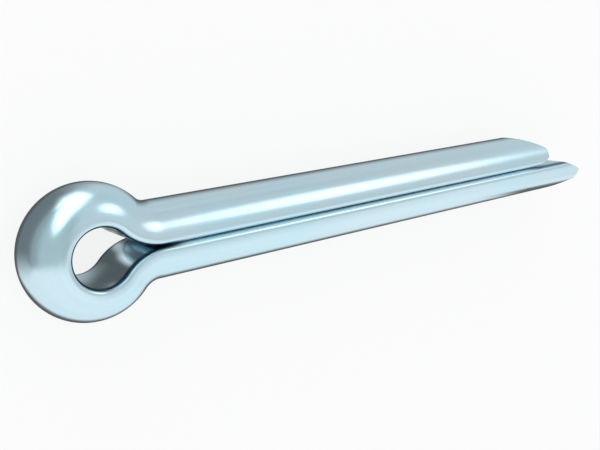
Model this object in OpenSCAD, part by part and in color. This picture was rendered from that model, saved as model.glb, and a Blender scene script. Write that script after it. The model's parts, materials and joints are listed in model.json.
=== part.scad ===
// Cotter pin (split pin): one length of half-round wire, bent back on itself round an eye so that
// its two flats face each other and its two legs close into a round shank.
//
// It lies flat, as it rests on a bench. The origin is the middle of the eye. +X runs along the
// shank to the leg ends, +Z is the axis of the eye, and the short leg is on the +Y side.

/* [Wire] */
// Diameter of the closed shank, over both legs
shank_d = 4.6; // [3.6:0.1:5.6]
// Gap between the flats of the two legs
leg_gap = 0.1; // [0.06:0.02:0.5]
// Radius of the rolled corners between the flat and the round of the wire
corner_r = 0.34; // [0.2:0.02:0.5]

/* [Eye] */
// Bore of the eye
eye_bore_d = 3.3; // [2.4:0.1:8]
// Radius of the reverse bend that takes each flat from the eye into its leg
neck_bend_r = 3.4; // [3:0.1:6]

/* [Legs] */
// Length over the short leg, from the back of the eye to the leg's end
short_len = 40.8; // [25:0.2:90]
// How far the long leg stands out past the short one
long_extra = 3.9; // [2.5:0.1:6]

/* [Short leg end] */
// Length of the nose that is cut on the outside of the short leg's end
short_nose_len = 2.6; // [1.5:0.1:5]
// How far the end of that nose stands from the axis of the shank
short_nose_out = 1.25; // [1:0.05:1.6]
// Length of the bevel on the short leg's flat
short_bevel_len = 1; // [0.5:0.1:2]
// Depth of that bevel at the leg's end
short_bevel_depth = 0.65; // [0.3:0.05:0.8]

/* [Long leg end] */
// Length of the nose that is cut on the outside of the long leg's end
long_nose_len = 2.9; // [1.5:0.1:5]
// How far the end of that nose stands from the axis of the shank
long_nose_out = 1.6; // [1.3:0.05:1.8]
// Length of the bevel on the long leg's flat, which lets a blade part the legs
long_bevel_len = 1.8; // [1:0.1:3]
// Depth of that bevel at the leg's end
long_bevel_depth = 0.8; // [0.4:0.05:1.1]

/* [Hidden] */
$fn = 128;

// Slight angle at which a rolled corner runs out into the flat and into the round
corner_angle = 9;

// Half-round wire: a round of the shank's own radius, less half of the gap
shank_r = shank_d / 2;
half_gap = leg_gap / 2;
wire_h = shank_r - half_gap;

// Middle of a rolled corner's arc, from the flat and from the wire's middle plane
corner_in = corner_r * cos(corner_angle);
corner_z = sqrt(pow(shank_r - corner_in, 2) - pow(corner_in + half_gap, 2));

// The eye and a neck bend meet on the line through their two centres
eye_r = eye_bore_d / 2;
bend_offset = eye_r + neck_bend_r;
neck_angle = asin((half_gap + neck_bend_r) / bend_offset);
neck_x = bend_offset * cos(neck_angle);

// Straight length of each leg, from its neck to its end
short_leg = short_len - wire_h - eye_r - neck_x;
long_leg = short_leg + long_extra;

// Longer than anything that a half space or a cut has to cover
reach = 2 * short_len;

// Cross-section of the wire: its flat lies on x = 0 and its round is towards +x
module wire_section() {
    difference() {
        intersection() {
            translate([-half_gap, 0]) circle(shank_r);
            translate([0, -shank_r]) square([shank_r, 2 * shank_r]);
        }
        corner_waste();
        mirror([0, 1]) corner_waste();
    }
}

// What one rolled corner leaves off: a wedge outside the corner's arc
module corner_waste() {
    run_out = atan((corner_in + half_gap) / corner_z);
    side = 2 * corner_r;
    translate([corner_in, corner_z]) difference() {
        polygon([[0, 0], [side * sin(run_out), side * cos(run_out)], [-side, side], [-side, 0]]);
        circle(corner_r);
    }
}

// All space on the -Y side of the X axis
module half_space() {
    translate([-reach, -2 * reach, -reach]) cube(2 * reach);
}

// Wedge that the two necks leave open in the ring of the eye
module neck_opening() {
    intersection() {
        rotate(neck_angle) half_space();
        mirror([0, 1, 0]) rotate(neck_angle) half_space();
    }
}

// Eye: the wire turned round its bore, with the flat inwards
module eye() {
    difference() {
        rotate_extrude() translate([eye_r, 0]) wire_section();
        neck_opening();
    }
}

// Neck: the reverse bend about the origin, from the line to the eye's centre down to the leg
module neck() {
    intersection() {
        rotate_extrude() translate([neck_bend_r, 0]) mirror([1, 0]) wire_section();
        rotate(neck_angle) half_space();
        rotate(-90) half_space();
    }
}

// Straight leg along +X with its flat on y = 0, and its end shaped outside and inside
module leg(length, nose_len, nose_out, bevel_len, bevel_depth) {
    difference() {
        rotate([90, 0, 90]) linear_extrude(length) wire_section();
        translate([length, 0, -shank_r]) linear_extrude(2 * shank_r) {
            translate([0, -half_gap]) nose_waste(nose_len, nose_out);
            bevel_waste(bevel_len, bevel_depth);
        }
    }
}

// What the nose leaves off, from the shank's axis: it bows in from the round to the leg's end.
// The bow starts at half of the taper's mean slope and ends at one and a half times that slope.
module nose_waste(nose_len, nose_out) {
    drop = shank_r - nose_out;
    slope = atan(drop / nose_len);
    bow_r = norm([nose_len, drop]) / (2 * sin(slope / 2));
    bow_x = -nose_len - bow_r * sin(slope / 2);
    difference() {
        translate([bow_x, 0]) square([nose_len - bow_x, 2 * shank_r]);
        translate([bow_x, shank_r - bow_r * cos(slope / 2)]) circle(bow_r);
    }
}

// What the bevel takes off the flat
module bevel_waste(bevel_len, bevel_depth) {
    polygon([[-2 * bevel_len, -bevel_depth], [bevel_len, -bevel_depth], [bevel_len, 2 * bevel_depth]]);
}

// Carries its children from the leg's own frame at the neck to their place on the pin
module at_neck() {
    rotate(neck_angle) translate([bend_offset, 0, 0]) rotate(-neck_angle) children();
}

module short_side() {
    at_neck() {
        neck();
        translate([0, -neck_bend_r, 0])
            leg(short_leg, short_nose_len, short_nose_out, short_bevel_len, short_bevel_depth);
    }
}

module long_side() {
    at_neck() {
        neck();
        translate([0, -neck_bend_r, 0])
            leg(long_leg, long_nose_len, long_nose_out, long_bevel_len, long_bevel_depth);
    }
}

// The whole pin: one bent wire
module cotter_pin() {
    color([0.62, 0.82, 0.91]) {
        eye();
        short_side();
        mirror([0, 1, 0]) long_side();
    }
}

cotter_pin();
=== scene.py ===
"""Cotter pin: one bent half-round wire in bright zinc plate, on a pale studio floor."""

import json
import math
from collections import namedtuple

import bpy
from bpy.props import FloatProperty, FloatVectorProperty, PointerProperty
from mathutils import Matrix, Vector


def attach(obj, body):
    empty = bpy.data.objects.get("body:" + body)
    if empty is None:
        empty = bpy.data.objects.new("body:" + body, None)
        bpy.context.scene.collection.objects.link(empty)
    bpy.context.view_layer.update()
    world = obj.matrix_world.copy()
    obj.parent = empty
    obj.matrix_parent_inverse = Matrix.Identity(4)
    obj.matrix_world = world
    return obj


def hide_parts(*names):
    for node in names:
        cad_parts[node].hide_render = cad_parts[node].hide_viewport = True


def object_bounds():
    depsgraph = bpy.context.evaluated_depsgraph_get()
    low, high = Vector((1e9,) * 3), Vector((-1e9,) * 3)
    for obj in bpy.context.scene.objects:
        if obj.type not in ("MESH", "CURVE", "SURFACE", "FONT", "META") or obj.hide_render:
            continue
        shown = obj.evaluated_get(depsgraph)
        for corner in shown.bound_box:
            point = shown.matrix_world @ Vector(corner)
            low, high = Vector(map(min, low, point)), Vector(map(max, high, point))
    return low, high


bl_info = {
    "name": "Cotter Pin",
    "version": (1, 0, 0),
    "blender": (4, 5, 0),
    "location": "3D View > Sidebar > Cotter Pin",
    "description": "Bends a half-round wire into a cotter pin, plates it and sets it on a studio floor",
    "category": "Object",
}

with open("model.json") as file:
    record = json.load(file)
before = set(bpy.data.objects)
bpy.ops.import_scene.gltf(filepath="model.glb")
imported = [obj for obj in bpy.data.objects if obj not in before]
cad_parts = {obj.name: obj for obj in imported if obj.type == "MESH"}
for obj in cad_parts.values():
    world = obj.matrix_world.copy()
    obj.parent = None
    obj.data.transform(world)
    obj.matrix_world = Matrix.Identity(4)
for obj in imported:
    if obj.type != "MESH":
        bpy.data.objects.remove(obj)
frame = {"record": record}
CAD_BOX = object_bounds()

MM = 0.001
QUARTER = math.pi / 2

MOUNTS = {mount["name"]: mount["dims"] for mount in frame["record"]["mounts"]}
BORE_R = MOUNTS["eye"]["r_mm"] * MM
SHANK_R = MOUNTS["shank"]["r_mm"] * MM
LONG_LEG_END = CAD_BOX[1].x
LONG_LEG_EXTRA = 3.9 * MM
SHORT_LEG_END = LONG_LEG_END - LONG_LEG_EXTRA
EYE_OUTER_R = -CAD_BOX[0].x
FLOOR_Z = CAD_BOX[0].z

# Stations along half of the wire, from the back of the eye to a leg's end
EYE_STEPS = 84
NECK_STEPS = 28
LEG_STEPS = 20
LEAD_STEPS = 4
NOSE_STEPS = 24
ROLL_STEPS = 8
FACE_STEPS = 6
HALF_ROUTE = EYE_STEPS + NECK_STEPS + LEG_STEPS + LEAD_STEPS + NOSE_STEPS + ROLL_STEPS + FACE_STEPS

# Points round half of the wire's section, from the top of the round to the middle of the flat
ROUND_POINTS = 60
CORNER_POINTS = 12
FLAT_POINTS = 6
HALF_SECTION = ROUND_POINTS + CORNER_POINTS + FLAT_POINTS

# Share of a nose's length over which the stations close up before it starts
LEAD_SHARE = 0.15
# How far the end's face closes to its middle, where a small cap fills it
FACE_CLOSING = 0.96
# Points that lie closer than this are made one
MERGE_DISTANCE = 0.0005 * MM


def length(name, description, default):
    """A length that the sidebar shows in the scene's own units."""
    return FloatProperty(
        name=name,
        description=description,
        default=default,
        min=0,
        precision=5,
        subtype="DISTANCE",
        unit="LENGTH",
    )


def colour(name, description, default):
    """A colour that the sidebar shows with a picker."""
    return FloatVectorProperty(name=name, description=description, default=default, size=3, subtype="COLOR")


def angle(name, description, degrees):
    """An angle that the sidebar shows in degrees."""
    return FloatProperty(name=name, description=description, default=math.radians(degrees), subtype="ANGLE")


class WireSettings(bpy.types.PropertyGroup):
    """Sizes of the bent wire."""

    shank_radius: length("Shank radius", "Radius of the closed shank, over both legs", SHANK_R)
    bore_radius: length("Bore radius", "Radius of the eye's bore", BORE_R)
    leg_gap: length("Leg gap", "Gap between the flats of the two legs", 0.1 * MM)
    corner_radius: length("Corner radius", "Radius rolled between the wire's flat and its round", 0.34 * MM)
    neck_radius: length("Neck radius", "Radius of the reverse bend from the eye into a leg", 3.4 * MM)
    short_leg_end: length("Short leg end", "From the middle of the eye to the short leg's end", SHORT_LEG_END)
    long_leg_end: length("Long leg end", "From the middle of the eye to the long leg's end", LONG_LEG_END)
    short_nose_length: length("Short nose length", "Length of the nose cut outside the short leg", 2.6 * MM)
    short_nose_out: length("Short nose end", "From the shank's axis to the short nose's end", 1.25 * MM)
    short_bevel_length: length("Short bevel length", "Length of the bevel on the short leg's flat", 1 * MM)
    short_bevel_depth: length("Short bevel depth", "Depth of that bevel at the leg's end", 0.65 * MM)
    long_nose_length: length("Long nose length", "Length of the nose cut outside the long leg", 2.9 * MM)
    long_nose_out: length("Long nose end", "From the shank's axis to the long nose's end", 1.6 * MM)
    long_bevel_length: length("Long bevel length", "Length of the bevel on the long leg's flat", 1.8 * MM)
    long_bevel_depth: length("Long bevel depth", "Depth of that bevel at the leg's end", 0.8 * MM)
    cut_edge: length("Cut edge", "How far the edges of each cut are rolled", 0.08 * MM)
    end_roll: length("End roll", "Radius that the shear rolls over at each leg's end", 0.12 * MM)


# Names of the wire tree's inputs, and the setting that each takes
WIRE_INPUTS = {
    "Shank Radius": "shank_radius",
    "Bore Radius": "bore_radius",
    "Leg Gap": "leg_gap",
    "Corner Radius": "corner_radius",
    "Neck Radius": "neck_radius",
    "Short Leg End": "short_leg_end",
    "Long Leg End": "long_leg_end",
    "Short Nose Length": "short_nose_length",
    "Short Nose Out": "short_nose_out",
    "Short Bevel Length": "short_bevel_length",
    "Short Bevel Depth": "short_bevel_depth",
    "Long Nose Length": "long_nose_length",
    "Long Nose Out": "long_nose_out",
    "Long Bevel Length": "long_bevel_length",
    "Long Bevel Depth": "long_bevel_depth",
    "Cut Edge": "cut_edge",
    "End Roll": "end_roll",
}


class Quantity:
    """A number in a node tree. Arithmetic on it adds Math nodes to the tree."""

    def __init__(self, socket):
        self.socket = socket

    def reckon(self, operation, *others):
        tree = self.socket.id_data
        node = tree.nodes.new("ShaderNodeMath")
        node.operation = operation
        for slot, value in zip(node.inputs, (self, *others)):
            feed(tree, slot, value)
        return Quantity(node.outputs[0])

    def __add__(self, other):
        return self.reckon("ADD", other)

    def __sub__(self, other):
        return self.reckon("SUBTRACT", other)

    def __rsub__(self, other):
        return self.reckon("MULTIPLY", -1.0) + other

    def __mul__(self, other):
        return self.reckon("MULTIPLY", other)

    def __truediv__(self, other):
        return self.reckon("DIVIDE", other)

    __radd__ = __add__
    __rmul__ = __mul__

    def sin(self):
        return self.reckon("SINE")

    def cos(self):
        return self.reckon("COSINE")

    def root(self):
        return self.reckon("SQRT")

    def at_least(self, low):
        return self.reckon("MAXIMUM", low)

    def at_most(self, high):
        return self.reckon("MINIMUM", high)

    def ramp(self, start, steps):
        """Runs from 0 to 1 over so many steps from start, and stays level before and after."""
        return ((self - start) / steps).at_least(0.0).at_most(1.0)

    def fade(self, start, end):
        """Smooth run from 0 at the start to 1 at the end, which may lie either way."""
        node = self.socket.id_data.nodes.new("ShaderNodeMapRange")
        node.interpolation_type = "SMOOTHSTEP"
        for name, value in (("Value", self), ("From Min", start), ("From Max", end)):
            feed(self.socket.id_data, node.inputs[name], value)
        return Quantity(node.outputs[0])


def feed(tree, slot, value):
    """Links a quantity to a socket, or sets the socket to a plain value."""
    if isinstance(value, Quantity):
        tree.links.new(value.socket, slot)
    elif isinstance(value, bpy.types.NodeSocket):
        tree.links.new(value, slot)
    else:
        slot.default_value = value


def add_node(tree, kind, settings=None, **inputs):
    """Adds a node. Inputs are given by name, with underscores for spaces."""
    node = tree.nodes.new(kind)
    for name, value in (settings or {}).items():
        setattr(node, name, value)
    for name, value in inputs.items():
        feed(tree, node.inputs[name.replace("_", " ")], value)
    return node


def combine(tree, x, y, z):
    return add_node(tree, "ShaderNodeCombineXYZ", X=x, Y=y, Z=z).outputs[0]


def capture_index(tree, geometry):
    """Keeps each point's index with it through the sweep."""
    node = tree.nodes.new("GeometryNodeCaptureAttribute")
    node.domain = "POINT"
    node.capture_items.new("FLOAT", "Index")
    tree.links.new(geometry, node.inputs["Geometry"])
    tree.links.new(tree.nodes.new("GeometryNodeInputIndex").outputs[0], node.inputs["Index"])
    return node.outputs["Geometry"], Quantity(node.outputs["Index"])


def store(tree, geometry, name, kind, value):
    """Keeps a value on each point of the mesh, for the plate to read."""
    settings = {"data_type": kind, "domain": "POINT"}
    node = add_node(tree, "GeometryNodeStoreNamedAttribute", settings, Geometry=geometry, Name=name)
    feed(tree, node.inputs["Value"], value)
    return node.outputs["Geometry"]


def build_wire_tree():
    """A geometry node tree that sweeps the half-round section along the bent route."""
    tree = bpy.data.node_groups.new("bent_wire", "GeometryNodeTree")
    tree.interface.new_socket("Geometry", in_out="INPUT", socket_type="NodeSocketGeometry")
    for name in WIRE_INPUTS:
        tree.interface.new_socket(name, in_out="INPUT", socket_type="NodeSocketFloat")
    tree.interface.new_socket("Finish", in_out="INPUT", socket_type="NodeSocketMaterial")
    tree.interface.new_socket("Geometry", in_out="OUTPUT", socket_type="NodeSocketGeometry")
    entry = tree.nodes.new("NodeGroupInput")
    size = {name: Quantity(entry.outputs[name]) for name in WIRE_INPUTS}

    # A straight run of stations, and the ring of points that is swept along it
    run = add_node(tree, "GeometryNodeCurvePrimitiveLine")
    stations = add_node(tree, "GeometryNodeResampleCurve", Curve=run.outputs[0], Count=2 * HALF_ROUTE + 1)
    route, station = capture_index(tree, stations.outputs[0])
    ring = add_node(tree, "GeometryNodeCurvePrimitiveCircle", Resolution=2 * HALF_SECTION)
    section, point = capture_index(tree, ring.outputs[0])
    sweep = add_node(tree, "GeometryNodeCurveToMesh", Curve=route, Fill_Caps=True)
    tree.links.new(section, sweep.inputs["Profile Curve"])

    # Which leg a station belongs to, and how far it is through each stretch of that half
    offset = station - HALF_ROUTE
    side = offset.reckon("SIGN")
    is_long = side.at_least(0.0)
    step = offset.reckon("ABSOLUTE")
    begin = 0
    through = {}
    for stretch, steps in (
        ("eye", EYE_STEPS),
        ("neck", NECK_STEPS),
        ("leg", LEG_STEPS),
        ("lead", LEAD_STEPS),
        ("nose", NOSE_STEPS),
        ("roll", ROLL_STEPS),
        ("face", FACE_STEPS),
    ):
        through[stretch] = step.ramp(begin, steps)
        begin += steps

    def per_leg(short, long):
        return short + (long - short) * is_long

    # The route of the flat's middle line, and the way that the round faces
    radius, bore, neck = size["Shank Radius"], size["Bore Radius"], size["Neck Radius"]
    half_gap = size["Leg Gap"] * 0.5
    neck_turn = ((half_gap + neck) / (bore + neck)).reckon("ARCSINE")
    neck_x = (bore + neck) * neck_turn.cos()
    eye_angle = math.pi - (math.pi - neck_turn) * through["eye"]
    neck_angle = neck_turn + (QUARTER - neck_turn) * through["neck"]
    facing = eye_angle + neck_angle - neck_turn
    straight = per_leg(size["Short Leg End"], size["Long Leg End"]) - neck_x
    shaped = per_leg(size["Short Nose Length"], size["Long Nose Length"])
    lead = shaped * LEAD_SHARE
    roll = size["End Roll"]
    along_leg = (
        (straight - shaped - lead) * through["leg"]
        + lead * through["lead"]
        + (shaped - roll) * through["nose"]
        + roll * (through["roll"] * QUARTER).sin()
    )
    to_end = straight - along_leg
    route_x = bore * eye_angle.cos() + neck * (neck_turn.cos() - neck_angle.cos()) + along_leg
    route_y = bore * eye_angle.sin() + neck * (neck_turn.sin() - neck_angle.sin())

    # The section, from the shank's axis: a round, a rolled corner, then half of the flat
    corner = size["Corner Radius"]
    inner = radius - corner
    corner_turn = ((half_gap + corner) / inner).reckon("ARCCOSINE")
    round_step = point.at_most(2.0 * HALF_SECTION - point)
    half = (point - HALF_SECTION).reckon("SIGN")
    on_round = round_step.ramp(0, ROUND_POINTS)
    on_corner = round_step.ramp(ROUND_POINTS, CORNER_POINTS)
    on_flat = round_step.ramp(ROUND_POINTS + CORNER_POINTS, FLAT_POINTS)
    middle_turn = corner_turn * on_round
    edge_turn = middle_turn + (math.pi - corner_turn) * on_corner
    high = inner * middle_turn.cos() + corner * edge_turn.cos()
    wide = inner * middle_turn.sin() * (1.0 - on_flat) + corner * edge_turn.sin()

    # The nose is cut off the round, and the bevel off the flat, no wider than the round is there
    drop = radius - per_leg(size["Short Nose Out"], size["Long Nose Out"])
    half_slope = (drop / shaped).reckon("ARCTANGENT") * 0.5
    bow = (shaped * shaped + drop * drop).root() / (half_slope.sin() * 2.0)
    reached = (shaped - to_end + bow * half_slope.sin()).at_least(0.0)
    nose_at = radius - bow * half_slope.cos() + (bow * bow - reached * reached).root()
    bevelled = 1.0 - to_end / per_leg(size["Short Bevel Length"], size["Long Bevel Length"])
    flat_at = half_gap + per_leg(size["Short Bevel Depth"], size["Long Bevel Depth"]) * bevelled
    edge = size["Cut Edge"]
    cut = high.reckon("SMOOTH_MIN", nose_at, edge).reckon("SMOOTH_MAX", flat_at, edge)
    wide = wide.at_most((radius * radius - cut * cut).at_least(0.0).root())

    # The shear rolls the edge over, and the end's face closes to its middle
    pole = (flat_at.at_least(half_gap) + nose_at.at_most(radius)) * 0.5
    reach = cut - pole
    span = (reach * reach + wide * wide).root()
    roll_in = roll * (1.0 - (through["roll"] * QUARTER).cos())
    kept = (1.0 - roll_in / span) * (1.0 - through["face"] * FACE_CLOSING)
    out = pole + reach * kept - half_gap
    up = wide * kept * half

    place_y = (route_y + out * facing.sin()) * side * -1.0
    place = combine(tree, route_x + out * facing.cos(), place_y, up)
    moved = add_node(tree, "GeometryNodeSetPosition", Geometry=sweep.outputs[0], Position=place)

    # What the plate reads: the place in the straight wire, and which points lie on an end or on the flat
    round_eye = bore * (math.pi - neck_turn) * through["eye"]
    round_neck = neck * (QUARTER - neck_turn) * through["neck"]
    along = side * (round_eye + round_neck + along_leg)
    shape = store(tree, moved.outputs[0], "wire_space", "FLOAT_VECTOR", combine(tree, along, out, up))
    shape = store(tree, shape, "end_face", "FLOAT", through["roll"])
    shape = store(tree, shape, "flat_face", "FLOAT", on_corner)
    merged = add_node(tree, "GeometryNodeMergeByDistance", Geometry=shape, Distance=MERGE_DISTANCE)
    smooth = add_node(tree, "GeometryNodeSetShadeSmooth", Geometry=merged.outputs[0])
    real = add_node(tree, "GeometryNodeRealizeInstances", Geometry=smooth.outputs[0])
    plated = add_node(tree, "GeometryNodeSetMaterial", Geometry=real.outputs[0])
    tree.links.new(entry.outputs["Finish"], plated.inputs["Material"])
    leave = tree.nodes.new("NodeGroupOutput")
    tree.links.new(plated.outputs[0], leave.inputs[0])
    return tree


def bake_modifier(piece, tree, values):
    """Sets the tree's inputs on the piece, and turns what it makes into a plain mesh."""
    modifier = piece.modifiers.new(tree.name, "NODES")
    modifier.node_group = tree
    for item in tree.interface.items_tree:
        if item.item_type == "SOCKET" and item.in_out == "INPUT" and item.name in values:
            modifier[item.identifier] = values[item.name]
    depsgraph = bpy.context.evaluated_depsgraph_get()
    mesh = bpy.data.meshes.new_from_object(
        piece.evaluated_get(depsgraph), preserve_all_data_layers=True, depsgraph=depsgraph
    )
    piece.modifiers.remove(modifier)
    piece.data = mesh


class COTTER_OT_bend_wire(bpy.types.Operator):
    """Bend the half-round wire round its eye, close its legs and shape their ends"""

    bl_idname = "cotter.bend_wire"
    bl_label = "Bend the wire"

    def execute(self, context):
        sizes = context.scene.cotter_wire
        values = {name: getattr(sizes, setting) for name, setting in WIRE_INPUTS.items()}
        values["Finish"] = build_zinc_plate(context.scene.cotter_plate)
        wire = bpy.data.objects.new("bent_wire", bpy.data.meshes.new("bent_wire"))
        context.scene.collection.objects.link(wire)
        bake_modifier(wire, build_wire_tree(), values)
        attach(wire, "root")
        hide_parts("cotter_pin")
        return {"FINISHED"}


class PlateSettings(bpy.types.PropertyGroup):
    """Colours and finish of the zinc plate."""

    tint: colour("Plate tint", "Colour of the bright zinc", (0.66, 0.83, 0.91))
    film_tint: colour("Film tint", "Colour where the plate's passivated film is thicker", (0.57, 0.81, 0.91))
    # The dark line along the flat's edges is painted shade
    edge_shade_tint: colour("Edge tint", "Colour of the dark line along the flat's edges", (0.03, 0.1, 0.16))
    roughness: FloatProperty(
        name="Roughness", description="Roughness between the drawn lines", default=0.19, min=0, max=1
    )
    line_depth: length("Line depth", "Depth of the fine lines that the drawing die leaves", 0.002 * MM)
    peel_depth: length("Peel depth", "Depth of the plate's faint ripple", 0.0026 * MM)
    shear_depth: length("Shear depth", "Depth of the tears on the sheared ends", 0.006 * MM)


# Grains of the plate's patterns, to the metre
LINE_GRAINS = 14000
STREAK_GRAINS = 2400
CLOUD_GRAINS = 260
PEEL_GRAINS = 2600
SPECK_GRAINS = 7000
TEAR_GRAINS = 9000

# How far lines and streaks are drawn out along the wire, and tears across it
LINE_DRAW = 0.012
STREAK_DRAW = 0.03
TEAR_DRAW = 0.25

# Distances along the wire from the back of the eye, between which the eye fades into a leg
EYE_END = 6.6 * MM
LEG_START = 8.2 * MM
# Distances along the wire between which the painted shade line comes back on the long leg's bare flat
BARE_FLAT = (37 * MM, 39 * MM)
# Distances from the wire's middle plane between which the flat's edge starts
FLAT_EDGE = (1.74 * MM, 1.86 * MM)
# How strongly the painted shade line darkens the plate
EDGE_SHADE_STRENGTH = 0.85


def attribute(tree, name):
    return add_node(tree, "ShaderNodeAttribute", {"attribute_name": name})


def noise(tree, place, scale, detail=2.0):
    """Noise from -0.5 to 0.5 about, with so many grains to the metre."""
    node = add_node(tree, "ShaderNodeTexNoise", Vector=place, Scale=scale, Detail=detail)
    return Quantity(node.outputs["Fac"]) - 0.5


def blend_colours(tree, first, second, share):
    """Mixes two colours, with so much of the second."""
    node = add_node(tree, "ShaderNodeMix", {"data_type": "VECTOR"}, Factor=share)
    feed(tree, node.inputs["A"], first)
    feed(tree, node.inputs["B"], second)
    return node.outputs["Result"]


def build_zinc_plate(finish):
    """Bright zinc over drawn wire: fine lines, a faint ripple, cloudy tint and torn, duller ends."""
    plate = bpy.data.materials.new("zinc_plate")
    plate.use_nodes = True
    tree = plate.node_tree
    shader = tree.nodes["Principled BSDF"]
    here = tree.nodes.new("ShaderNodeTexCoord").outputs["Object"]
    wire = add_node(tree, "ShaderNodeSeparateXYZ", Vector=attribute(tree, "wire_space").outputs["Vector"])
    along, out, up = (Quantity(socket) for socket in wire.outputs)
    sheared = Quantity(attribute(tree, "end_face").outputs["Fac"])
    corner = Quantity(attribute(tree, "flat_face").outputs["Fac"])

    lines = noise(tree, combine(tree, along * LINE_DRAW, out, up), LINE_GRAINS)
    streaks = noise(tree, combine(tree, along * STREAK_DRAW, out, up), STREAK_GRAINS)
    clouds = noise(tree, here, CLOUD_GRAINS)
    peel = noise(tree, here, PEEL_GRAINS)
    specks = noise(tree, here, SPECK_GRAINS)
    tears = noise(tree, combine(tree, along, out * TEAR_DRAW, up), TEAR_GRAINS, detail=4.0)

    # Painted shade: a dark line runs along the flat's edges, in the eye and on the long leg's bare flat
    smooth = 1.0 - sheared
    in_eye = along.reckon("ABSOLUTE").fade(LEG_START, EYE_END)
    on_flat_edge = corner.fade(0.35, 0.65) * up.reckon("ABSOLUTE").fade(*FLAT_EDGE)
    painted_edge_shade = on_flat_edge * in_eye.at_least(along.fade(*BARE_FLAT) * smooth)
    # Painted light: the flats that face each other in the split are made duller and less of a mirror, so that
    # the dark gap between them shows lighter
    split_painted_light = corner.fade(0.35, 0.7) * (1.0 - in_eye) * smooth

    bright = 1.0 + clouds * 0.08 + streaks * 0.09 + specks * 0.06 - sheared * 0.6
    film = (0.5 + clouds * 2.0).at_least(0.0).at_most(1.0)
    tinted = blend_colours(tree, finish.tint, finish.film_tint, film)
    clean = add_node(tree, "ShaderNodeVectorMath", {"operation": "SCALE"}, Vector=tinted, Scale=bright)
    edged = blend_colours(tree, clean.outputs[0], finish.edge_shade_tint, painted_edge_shade * EDGE_SHADE_STRENGTH)
    feed(tree, shader.inputs["Base Color"], edged)
    # Less metal in the split paints light into the gap
    feed(tree, shader.inputs["Metallic"], 1.0 - split_painted_light * 0.33)

    uneven = clouds * 0.06 + streaks * 0.06 + specks * 0.08
    # Rougher on the worn sheared ends, and along the painted shade line and in the painted light of the split
    worn_and_painted_light = sheared * 0.2 + painted_edge_shade * 0.1 + split_painted_light * 0.3
    feed(tree, shader.inputs["Roughness"], finish.roughness + uneven + worn_and_painted_light)

    drawn = (lines * finish.line_depth + peel * finish.peel_depth) * smooth
    height = drawn + tears * finish.shear_depth * sheared
    bump = add_node(tree, "ShaderNodeBump", Distance=1.0, Height=height)
    tree.links.new(bump.outputs["Normal"], shader.inputs["Normal"])
    return plate


class StageSettings(bpy.types.PropertyGroup):
    """The studio round the pin."""

    paper: colour("Paper", "Colour of the studio floor", (0.9, 0.9, 0.9))
    azimuth: angle("Azimuth", "Turn of the camera round the pin", -111.47)
    elevation: angle("Elevation", "Height of the camera over the floor", 52.72)
    roll: angle("Roll", "Turn of the camera about its own view", 103.985)
    distance: length("Distance", "From the camera to the point that it looks at", 52.358 * MM)
    lens: FloatProperty(name="Lens", description="The camera's focal length, in millimetres", default=48.48)


# The point that the camera looks at
AIM = Vector((14.224, -1.06, 0)) * MM
# Width of the camera's sensor, in millimetres
SENSOR_WIDTH = 36
# From the middle of the floor to its edge, in metres
FLOOR_REACH = 2


def bearing(azimuth, elevation):
    """Unit vector from +X towards +Y by the azimuth, and up by the elevation, in degrees."""
    turn, rise = math.radians(azimuth), math.radians(elevation)
    return Vector((math.cos(turn) * math.cos(rise), math.sin(turn) * math.cos(rise), math.sin(rise)))


def add_camera(scene, stage):
    data = bpy.data.cameras.new("studio_camera")
    data.sensor_width = SENSOR_WIDTH
    data.lens = stage.lens
    data.clip_start = MM
    back = Vector(
        (
            math.sin(stage.azimuth) * math.cos(stage.elevation),
            -math.cos(stage.azimuth) * math.cos(stage.elevation),
            math.sin(stage.elevation),
        )
    )
    level = back.cross(Vector((0, 0, -1))).normalized()
    upright = back.cross(level)
    right = level * math.cos(stage.roll) + upright * math.sin(stage.roll)
    camera = bpy.data.objects.new("studio_camera", data)
    facing = Matrix((right, back.cross(right), back)).transposed().to_4x4()
    camera.matrix_world = Matrix.Translation(AIM + back * stage.distance) @ facing
    scene.collection.objects.link(camera)
    scene.camera = camera


def dot(tree, way, axis):
    """How far the way runs along an axis."""
    node = add_node(tree, "ShaderNodeVectorMath", {"operation": "DOT_PRODUCT"})
    feed(tree, node.inputs[0], way)
    feed(tree, node.inputs[1], axis)
    return Quantity(node.outputs["Value"])


# Oval patches of the surround. Each has the level that it adds, then the azimuth and elevation of its
# middle, its lean, width and height, in degrees, and the share of its size over which its edge is blurred.
Patch = namedtuple("Patch", "level azimuth elevation lean width height blur")
DIM_PANEL = Patch(-0.2, -39, 48, 0, 34, 28, 0.8)
KEY_LAMP = Patch(0.95, 44, 35, 36, 26, 23, 0.45)
STRIP_LAMP = Patch(1.4, 100, 16, -44, 33, 85, 0.4)


def add_patch(tree, way, patch):
    """The light that an oval patch with a blurred edge adds to the surround."""
    front = bearing(patch.azimuth, patch.elevation)
    level = bearing(patch.azimuth + 90, 0)
    upright = front.cross(level)
    lean = math.radians(patch.lean)
    across = level * math.cos(lean) + upright * math.sin(lean)
    lengthwise = upright * math.cos(lean) - level * math.sin(lean)
    ahead = dot(tree, way, front)
    near = ahead.at_least(0.1)
    u = dot(tree, way, across / math.tan(math.radians(patch.width / 2))) / near
    v = dot(tree, way, lengthwise / math.tan(math.radians(patch.height / 2))) / near
    inside = (u * u + v * v).root().fade(1 + patch.blur, 1 - patch.blur)
    return patch.level * inside * ahead.fade(0.0, 0.1)


# Levels of the surround, where 1 is white
DOME_LEVEL = 0.555
WALL_LEVEL = 1.01


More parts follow.
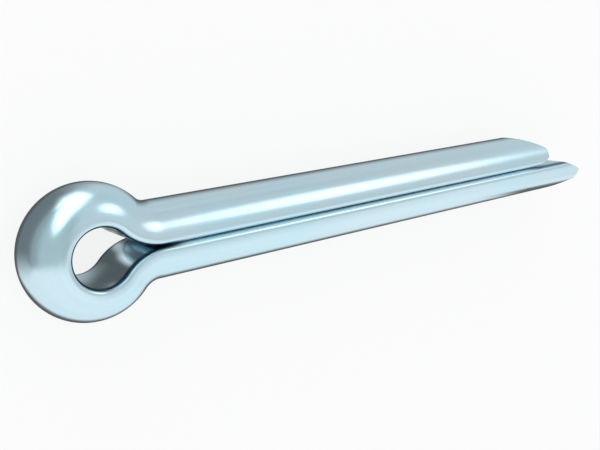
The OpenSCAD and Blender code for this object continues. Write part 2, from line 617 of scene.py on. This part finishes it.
def build_studio_light(scene):
    """A pale dome with a white wall on the -Y side, a dim panel and two soft lamps. The camera sees white."""
    world = bpy.data.worlds.new("studio_light")
    world.use_nodes = True
    tree = world.node_tree
    tree.nodes.clear()
    way = tree.nodes.new("ShaderNodeTexCoord").outputs["Generated"]
    x, y, z = (Quantity(socket) for socket in add_node(tree, "ShaderNodeSeparateXYZ", Vector=way).outputs)
    over_legs = x.fade(-0.15, 0.07)
    behind_eye = x.fade(-0.1, -0.42)
    near_floor = z.fade(0.42, 0.0) * x.fade(0.98, -0.18)
    dome = (DOME_LEVEL + 0.165 * over_legs + 0.065 * behind_eye) * (1.0 - 0.33 * near_floor)
    wall = y.fade(-0.135, -0.295) * x.fade(1.0, 0.66)
    level = dome + (WALL_LEVEL - dome) * wall
    for patch in (DIM_PANEL, KEY_LAMP, STRIP_LAMP):
        level = level + add_patch(tree, way, patch)
    seen = Quantity(tree.nodes.new("ShaderNodeLightPath").outputs["Is Camera Ray"])
    red = 1.0 - 0.1 * x.fade(0.2, -0.2) * (1.0 - wall) * (1.0 - seen)
    background = add_node(tree, "ShaderNodeBackground", Color=combine(tree, red, 1.0, 1.0))
    feed(tree, background.inputs["Strength"], level + (1.0 - level) * seen)
    leave = tree.nodes.new("ShaderNodeOutputWorld")
    tree.links.new(background.outputs[0], leave.inputs["Surface"])
    scene.world = world


# Levels of painted light and shade that metal sees in the paper, where 1 is white
LEG_TONE = 0.71
EYE_TONE = 0.22
FAR_EYE_TONE = 0.4
FAR_TONE = 1.7
WALL_TONE = 0.97
SHADE_TONE = 0.12
# How much of what the camera sees of the paper is plain white. The rest is its lit colour.
PAPER_WHITE = 0.86

# Painted spots of light on the paper, standing for light that comes through the eye. Each has its middle and
# its radius, in millimetres, and its tone.
Glow = namedtuple("Glow", "x y radius tone")
BORE_GLOW = Glow(0.1, -1.3, 1.2, 0.4)
NECK_GLOW = Glow(1.6, 1.1, 1.1, 1.2)
SPLIT_GLOW = Glow(2.3, 0.1, 0.7, 0.45)


def shade_paper(tree):
    """The painted light and shade that metal sees at each place of the paper. Its lengths are in millimetres.
    """
    here = tree.nodes.new("ShaderNodeTexCoord").outputs["Object"]
    spot = add_node(tree, "ShaderNodeSeparateXYZ", Vector=here)
    x, y = (Quantity(socket) / MM for socket in spot.outputs[:2])
    legs_end = LONG_LEG_END / MM
    from_eye = (x * x + y * y).root() - EYE_OUTER_R / MM
    middle = legs_end / 2
    past_tips = (x - middle).reckon("ABSOLUTE") - middle + 2.0
    from_shank = (y.reckon("ABSOLUTE") - SHANK_R / MM).at_least(past_tips)
    away = from_eye.at_most(from_shank)

    # Metal sees the +Y side painted grey, darker behind the eye and under the legs, opening to a bright wedge
    # far out
    by_eye = x.fade(3.95, -2.3)
    grey = LEG_TONE - (LEG_TONE - EYE_TONE) * by_eye
    grey = grey + (FAR_EYE_TONE - grey) * away.fade(4.0, 39.0) * by_eye
    grey = grey * (1.0 - 0.67 * away.fade(3.5, 0.2) * (1.0 - by_eye))
    ahead = y + 1.9 * (x + 2.9).at_most(0.0) - 2.75 * (x - 0.9).at_least(0.0)
    grey = grey + (FAR_TONE - grey) * ahead.fade(7.0, 21.0)

    # The -Y side, under the white wall, is painted near white
    round_back = y / (0.0 - x).at_least(1.0)
    distant = away.fade(3.0, 25.0)
    by_wall = round_back.fade(0.2 - 0.33 * distant, -0.48 + 0.17 * distant)
    tone = grey + (WALL_TONE - grey) * by_wall

    # Painted shadow: the paper next to the pin is painted dark, furthest out on the -Y side and past the leg
    # ends
    back = x.at_most(0.0)
    outward = (0.5 * back - 0.87 * y) / (back * back + y * y).root().at_least(0.1)
    past_ends = 1.3 * (x - legs_end).at_least(0.0).at_most(6.0) * y.fade(7.0, 4.0)
    reach = (1.7 + 3.3 * outward).at_least(0.9) + past_ends
    tone = tone + (SHADE_TONE - tone) * (away / reach).fade(1.6, 0.7)

    for glow in (BORE_GLOW, NECK_GLOW, SPLIT_GLOW):
        across, forward = x - glow.x, y - glow.y
        tone = tone + glow.tone * (across * across + forward * forward).root().fade(glow.radius, 0.0)
    return tone


def build_paper(tint):
    """Pale paper that takes the pin's shadow, and in which metal sees painted light and shade in place of the
    lit paper.
    """
    paper = bpy.data.materials.new("studio_paper")
    paper.use_nodes = True
    tree = paper.node_tree
    tree.nodes.clear()
    light = tree.nodes.new("ShaderNodeLightPath")
    lit = add_node(tree, "ShaderNodeBsdfDiffuse", Color=(*tint, 1))
    white = add_node(tree, "ShaderNodeEmission", Color=(1, 1, 1, 1), Strength=1.0)
    # Glossy rays see this emission of painted light and shade instead of the lit paper
    mirrored = add_node(tree, "ShaderNodeEmission", Color=(1, 1, 1, 1), Strength=shade_paper(tree))
    seen = blend(tree, lit, white, Quantity(light.outputs["Is Camera Ray"]) * PAPER_WHITE)
    whole = blend(tree, seen, mirrored, light.outputs["Is Glossy Ray"])
    leave = tree.nodes.new("ShaderNodeOutputMaterial")
    tree.links.new(whole.outputs[0], leave.inputs["Surface"])
    return paper


def blend(tree, first, second, share):
    """Mixes two shaders, with so much of the second."""
    node = add_node(tree, "ShaderNodeMixShader", Fac=share)
    tree.links.new(first.outputs[0], node.inputs[1])
    tree.links.new(second.outputs[0], node.inputs[2])
    return node


class COTTER_OT_set_stage(bpy.types.Operator):
    """Lay the pale floor, hang the soft lights and set up the camera"""

    bl_idname = "cotter.set_stage"
    bl_label = "Set the stage"

    def execute(self, context):
        scene = context.scene
        stage = scene.cotter_stage
        scene.view_settings.view_transform = "Standard"
        add_camera(scene, stage)
        build_studio_light(scene)
        mesh = bpy.data.meshes.new("studio_floor")
        corners = ((-1, -1), (1, -1), (1, 1), (-1, 1))
        points = [(x * FLOOR_REACH, y * FLOOR_REACH, FLOOR_Z) for x, y in corners]
        mesh.from_pydata(points, [], [(0, 1, 2, 3)])
        mesh.materials.append(build_paper(stage.paper))
        floor = bpy.data.objects.new("studio_floor", mesh)
        scene.collection.objects.link(floor)
        return {"FINISHED"}


class COTTER_PT_sidebar(bpy.types.Panel):
    """Lists the pin's operators and settings"""

    bl_idname = "COTTER_PT_sidebar"
    bl_label = "Cotter Pin"
    bl_space_type = "VIEW_3D"
    bl_region_type = "UI"
    bl_category = "Cotter Pin"

    def draw(self, context):
        scene = context.scene
        for settings, operator in (
            (scene.cotter_wire, COTTER_OT_bend_wire),
            (scene.cotter_plate, None),
            (scene.cotter_stage, COTTER_OT_set_stage),
        ):
            box = self.layout.box()
            for name in settings.__annotations__:
                box.prop(settings, name)
            if operator:
                box.operator(operator.bl_idname)


CLASSES = (
    WireSettings,
    PlateSettings,
    StageSettings,
    COTTER_OT_bend_wire,
    COTTER_OT_set_stage,
    COTTER_PT_sidebar,
)


def register():
    for cls in CLASSES:
        bpy.utils.register_class(cls)
    bpy.types.Scene.cotter_wire = PointerProperty(type=WireSettings)
    bpy.types.Scene.cotter_plate = PointerProperty(type=PlateSettings)
    bpy.types.Scene.cotter_stage = PointerProperty(type=StageSettings)


def unregister():
    del bpy.types.Scene.cotter_stage
    del bpy.types.Scene.cotter_plate
    del bpy.types.Scene.cotter_wire
    for cls in reversed(CLASSES):
        bpy.utils.unregister_class(cls)


def main():
    register()
    bpy.ops.cotter.set_stage()
    bpy.ops.cotter.bend_wire()


if __name__ == "__main__":
    main()
